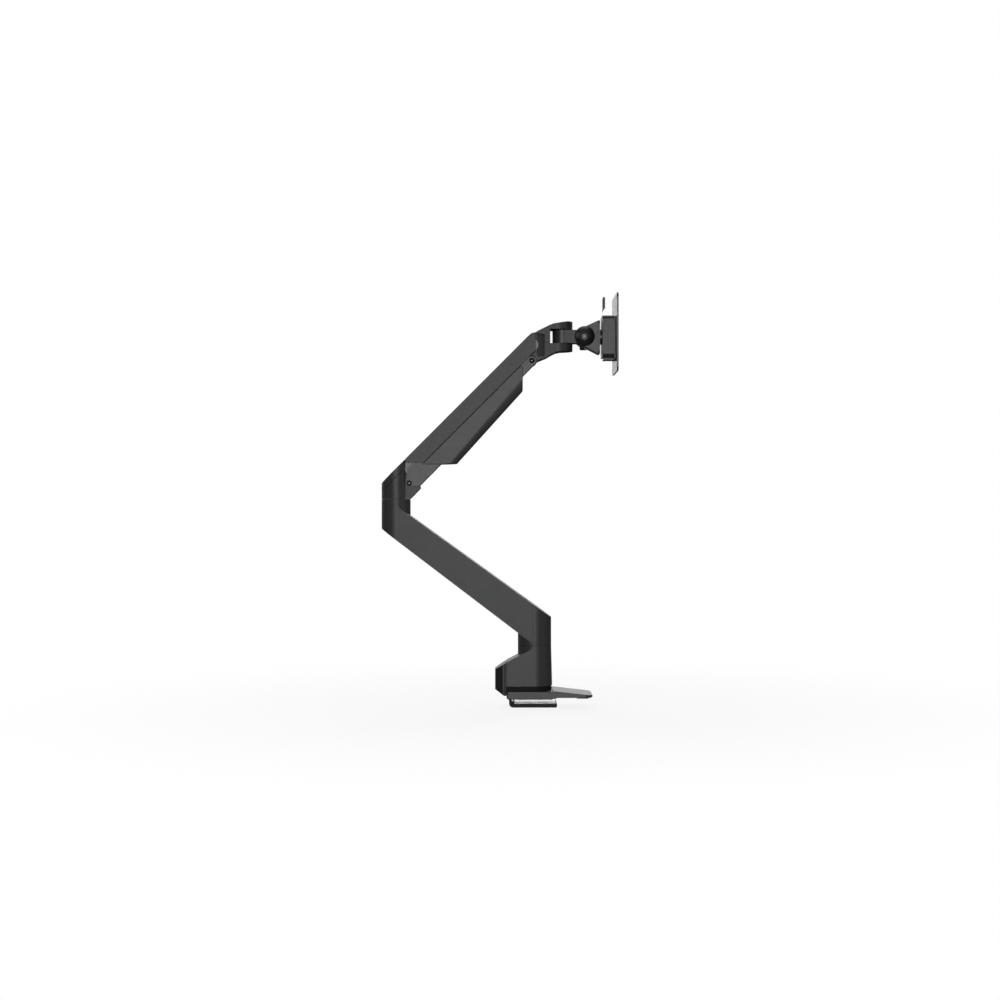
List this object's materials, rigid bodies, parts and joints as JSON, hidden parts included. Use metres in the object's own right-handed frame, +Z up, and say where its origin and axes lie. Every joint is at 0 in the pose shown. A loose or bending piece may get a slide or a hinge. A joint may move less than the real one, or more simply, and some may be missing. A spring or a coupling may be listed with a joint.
{
  "type": "monitor arm",
  "caption": "Desk-clamp monitor arm with a swivelling lower arm, gas-spring parallelogram arm, fork swivel, tilt head and a VESA plate for a display.",
  "frame": {"origin": "desk face under the foot, on the axis of the base column", "axes": "+X the way the display faces, +Z up, XZ is the plane of symmetry"},
  "size_m": [0.3517, 0.116, 0.6142],
  "materials": {
    "satin_black": "satin powder coat, dark grey",
    "dark_cast": "satin powder coat",
    "cover_plastic": "fine-grained moulded plastic",
    "black_plastic": "moulded plastic",
    "gloss_cap": "smooth moulded plastic",
    "rubber": "matte rubber",
    "matte_black": "flat black",
    "grey_pad": "soft grey protective pad",
    "dark_polymer": "glass-filled nylon",
    "steel": "machined, zinc plated",
    "black_steel": "black e-coated sheet steel",
    "polymer": "acetal bearing polymer",
    "bronze": "threaded bush",
    "spring_body": "gloss black tube",
    "chrome": "hard-chromed rod"
  },
  "bodies": {
    "base": {"base_housing": "satin_black", "base_spacer": "matte_black", "foot_plate": "dark_cast", "foot_pads": "rubber", "rear_cover": "black_plastic", "base_post": "steel", "base_screws": "steel", "base_washer": "dark_polymer", "post_ring": "steel", "screw_collar": "steel"},
    "clamp": {"clamp_jaw": "black_steel", "jaw_pad": "grey_pad", "clamp_nut": "bronze"},
    "screw": {"clamp_screw": "steel"},
    "lower_arm": {"lower_arm": "satin_black", "lower_arm_cover": "black_plastic", "base_bushings": "polymer", "elbow_post": "steel", "elbow_washer": "dark_polymer", "post_cap": "steel"},
    "elbow": {"elbow_yoke": "satin_black", "yoke_cap": "satin_black", "elbow_bushing": "polymer", "tension_block": "steel", "tension_screw": "steel", "spring_pin_rear": "steel"},
    "upper_arm": {"upper_channel": "black_steel", "upper_casing": "satin_black", "arm_pins": "black_steel", "spring_pin_front": "steel", "gas_cylinder": "spring_body"},
    "spring_rod": {"gas_rod": "chrome", "rod_eye": "steel"},
    "link": {"lower_link": "dark_cast", "link_cover": "cover_plastic", "link_pins": "matte_black", "link_screws": "steel"},
    "head": {"head_bracket": "satin_black", "swivel_bolt": "steel", "swivel_washers": "dark_polymer"},
    "knuckle": {"knuckle": "dark_cast", "tilt_washers": "dark_polymer"},
    "tilt": {"tilt_bracket": "dark_cast", "tilt_bolt": "steel", "tilt_caps": "gloss_cap", "tilt_stop": "rubber", "rotation_shaft": "black_steel", "rotation_nut": "steel", "box_washer": "steel"},
    "display": {"head_box": "dark_cast", "carrier_plate": "black_steel", "carrier_rivets": "steel", "vesa_plate": "black_steel", "latch_spring": "steel"},
    "latch": {"latch_strip": "steel", "latch_grip": "black_plastic"}
  },
  "joints": [
    {"name": "base_swivel", "type": "hinge", "parent": "base", "child": "lower_arm", "pos_m": [0, 0, 0.0794], "axis": [0, 0, 1], "range_deg": [-180, 180]},
    {"name": "elbow_swivel", "type": "hinge", "parent": "lower_arm", "child": "elbow", "pos_m": [-0.2075, 0, 0.297], "axis": [0, 0, 1], "range_deg": [-180, 180]},
    {"name": "lift", "type": "hinge", "parent": "elbow", "child": "upper_arm", "pos_m": [-0.187, 0, 0.345], "axis": [0, 1, 0], "range_deg": [0, 80]},
    {"name": "link_hinge", "type": "hinge", "parent": "elbow", "child": "link", "pos_m": [-0.187, 0, 0.321], "axis": [0, 1, 0], "range_deg": [-1, 81]},
    {"name": "head_level", "type": "hinge", "parent": "upper_arm", "child": "head", "pos_m": [-0.00421, 0, 0.52779], "axis": [0, 1, 0], "range_deg": [-81, 1]},
    {"name": "spring_slide", "type": "slide", "parent": "upper_arm", "child": "spring_rod", "axis": [0.6837, 0, 0.7298], "range_m": [-0.0005, 0.016]},
    {"name": "head_swivel", "type": "hinge", "parent": "head", "child": "knuckle", "pos_m": [0.04099, 0, 0.5404], "axis": [0, 0, 1], "range_deg": [-75, 75]},
    {"name": "tilt", "type": "hinge", "parent": "knuckle", "child": "tilt", "pos_m": [0.07469, 0, 0.5404], "axis": [0, 1, 0], "range_deg": [-70, 30]},
    {"name": "rotation", "type": "hinge", "parent": "tilt", "child": "display", "pos_m": [0.1, 0, 0.5404], "axis": [1, 0, 0], "range_deg": [-90, 90]},
    {"name": "latch_release", "type": "slide", "parent": "display", "child": "latch", "axis": [0, 0, 1], "range_m": [0, 0.004], "stiffness_N_per_m": 400, "springref_m": -0.002, "deforming": ["latch_spring"]},
    {"name": "jaw_slide", "type": "slide", "parent": "base", "child": "clamp", "axis": [0, 0, 1], "range_m": [-0.03, 0]},
    {"name": "screw_turn", "type": "hinge", "parent": "base", "child": "screw", "pos_m": [-0.02, 0, 0.03], "axis": [0, 0, 1], "range_deg": [-5450, 10]}
  ],
  "couplings": [
    {"joint": "link_hinge", "follows": "lift", "ratio": 1},
    {"joint": "head_level", "follows": "lift", "ratio": -1},
    {"joint": "spring_slide", "follows": "lift", "m_per_rad": 0.010548},
    {"joint": "screw_turn", "follows": "jaw_slide", "rad_per_m": 3141.6}
  ]
}
